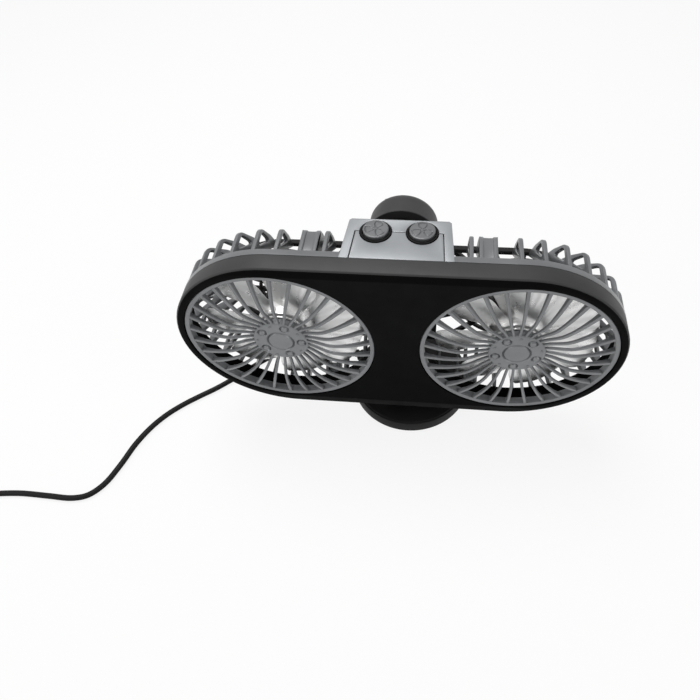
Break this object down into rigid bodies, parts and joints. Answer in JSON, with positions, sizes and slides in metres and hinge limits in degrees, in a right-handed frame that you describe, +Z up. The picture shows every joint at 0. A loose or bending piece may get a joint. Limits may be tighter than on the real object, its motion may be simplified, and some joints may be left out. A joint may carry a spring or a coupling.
{
  "type": "dual head car fan",
  "caption": "Small car fan with twin round grilles side by side in one stadium shaped head, on a ball joint, curved arm and swivelling round foot, with a USB lead.",
  "frame": {"origin": "centre of the foot's flat bottom face, on the swivel axis, where the fan stands on a dashboard or table", "axes": "+Z up; +X along the line of the two grilles, towards the right one as seen from the front; the fans face and blow along -Y, and the ball joint is on the +Y side"},
  "size_m": [0.48, 0.2045, 0.1431],
  "materials": {
    "black_plastic": "fine satin black moulding",
    "soft_black": "matte black moulding",
    "silver_plastic": "silver painted moulding with a soft sheen",
    "bright_silver": "brighter silver moulding",
    "steel": "plain zinc or nickel plated steel",
    "rubber": "smooth black rubber or cord jacket",
    "board": "green solder mask"
  },
  "bodies": {
    "foot": {"foot_base": "black_plastic", "foot_pad": "rubber", "strain_relief": "rubber", "cord_run": "rubber", "cord_coil": "rubber", "usb_plug_body": "soft_black", "usb_plug_shell": "steel"},
    "arm": {"turntable": "soft_black", "support_arm": "black_plastic", "ball_stud": "steel", "arm_screw_1": "steel", "arm_screw_2": "steel", "pivot_washer": "steel", "pivot_screw": "steel"},
    "liner": {"socket_liner": "soft_black"},
    "nut": {"clamp_nut": "black_plastic"},
    "head": {"front_bezel": "black_plastic", "left_grille": "silver_plastic", "right_grille": "silver_plastic", "rear_housing": "silver_plastic", "control_cover": "silver_plastic", "left_button_collar": "soft_black", "right_button_collar": "soft_black", "circuit_board": "board", "left_tact_switch": "soft_black", "right_tact_switch": "soft_black", "case_screw_1": "steel", "case_screw_2": "steel", "case_screw_3": "steel", "case_screw_4": "steel", "socket_screw_1": "steel", "socket_screw_2": "steel", "socket_screw_3": "steel", "socket_screw_4": "steel", "left_motor": "steel", "right_motor": "steel", "ball_socket": "black_plastic"},
    "left_fan": {"left_rotor": "silver_plastic", "left_rotor_cap": "bright_silver", "left_shaft": "steel"},
    "right_fan": {"right_rotor": "silver_plastic", "right_rotor_cap": "bright_silver", "right_shaft": "steel"},
    "left_button_body": {"left_button": "bright_silver"},
    "right_button_body": {"right_button": "bright_silver"}
  },
  "joints": [
    {"name": "foot_swivel", "type": "hinge", "parent": "foot", "child": "arm", "pos_m": [0, 0, 0.01], "axis": [0, 0, 1], "range_deg": [-175, 175]},
    {"name": "ball_turn", "type": "hinge", "parent": "arm", "child": "liner", "pos_m": [-0.005, 0.0188, 0.12], "axis": [0, 0, 1], "range_deg": [-5, 35]},
    {"name": "ball_tilt", "type": "hinge", "parent": "liner", "child": "nut", "pos_m": [-0.005, 0.0188, 0.12], "axis": [1, 0, 0], "range_deg": [-20, 7]},
    {"name": "ball_roll", "type": "hinge", "parent": "nut", "child": "head", "pos_m": [-0.005, 0.0188, 0.12], "axis": [0, 1, 0], "range_deg": [-10, 10]},
    {"name": "left_fan_spin", "type": "hinge", "parent": "head", "child": "left_fan", "pos_m": [-0.0667, -0.0212, 0.085], "axis": [0, 1, 0], "continuous": true},
    {"name": "right_fan_spin", "type": "hinge", "parent": "head", "child": "right_fan", "pos_m": [0.0567, -0.0212, 0.085], "axis": [0, 1, 0], "continuous": true},
    {"name": "left_button_press", "type": "slide", "parent": "head", "child": "left_button_body", "axis": [0, 0, -1], "range_m": [0, 0.001], "stiffness_N_per_m": 1200, "springref_m": -0.0005},
    {"name": "right_button_press", "type": "slide", "parent": "head", "child": "right_button_body", "axis": [0, 0, -1], "range_m": [0, 0.001], "stiffness_N_per_m": 1200, "springref_m": -0.0005}
  ]
}
